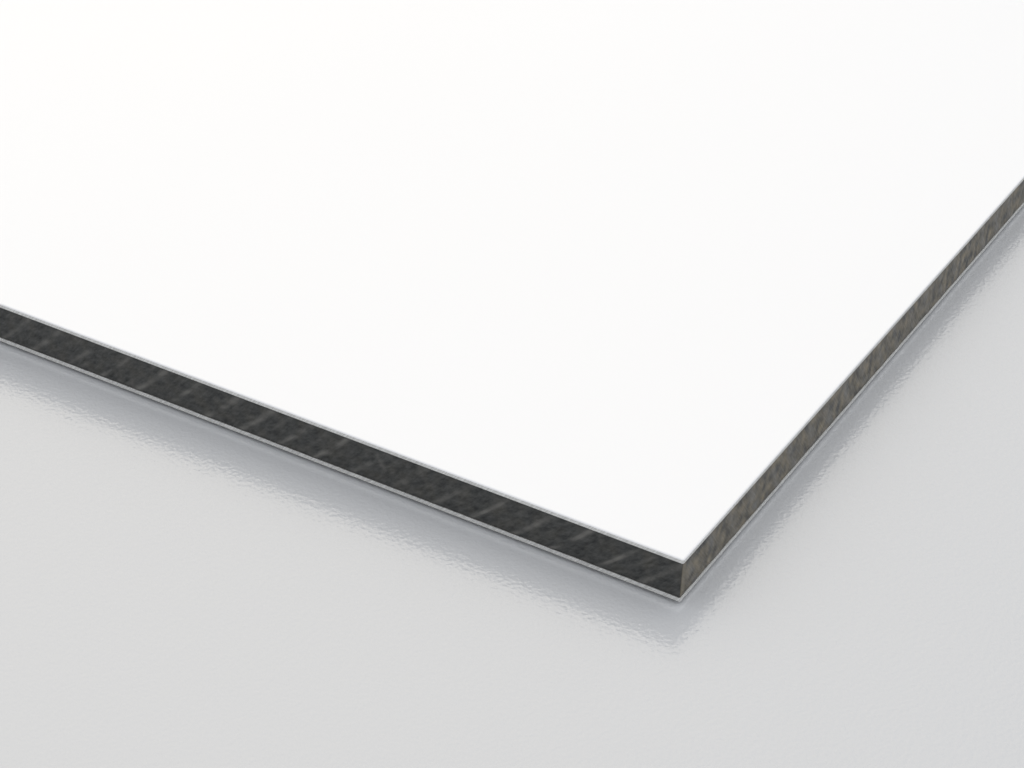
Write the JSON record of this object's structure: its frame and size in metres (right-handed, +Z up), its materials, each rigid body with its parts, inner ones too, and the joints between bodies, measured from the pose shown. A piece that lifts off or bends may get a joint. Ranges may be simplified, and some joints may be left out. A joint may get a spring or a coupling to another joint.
{
  "type": "aluminium composite panel",
  "caption": "Flat rigid sandwich panel: white coated aluminium face sheet, dark solid polyethylene core and coated aluminium back sheet, with sawn edges.",
  "frame": {"origin": "middle of the underside, on the surface that the panel lies on", "axes": "+X along the long edges, +Y along the short edges, +Z up out of the white face"},
  "size_m": [0.297, 0.21, 0.003],
  "materials": {
    "face_sheet": "satin",
    "core": "matte",
    "back_sheet": "matte"
  },
  "bodies": {
    "root": {"face_sheet": "face_sheet", "core": "core", "back_sheet": "back_sheet"}
  },
  "joints": []
}
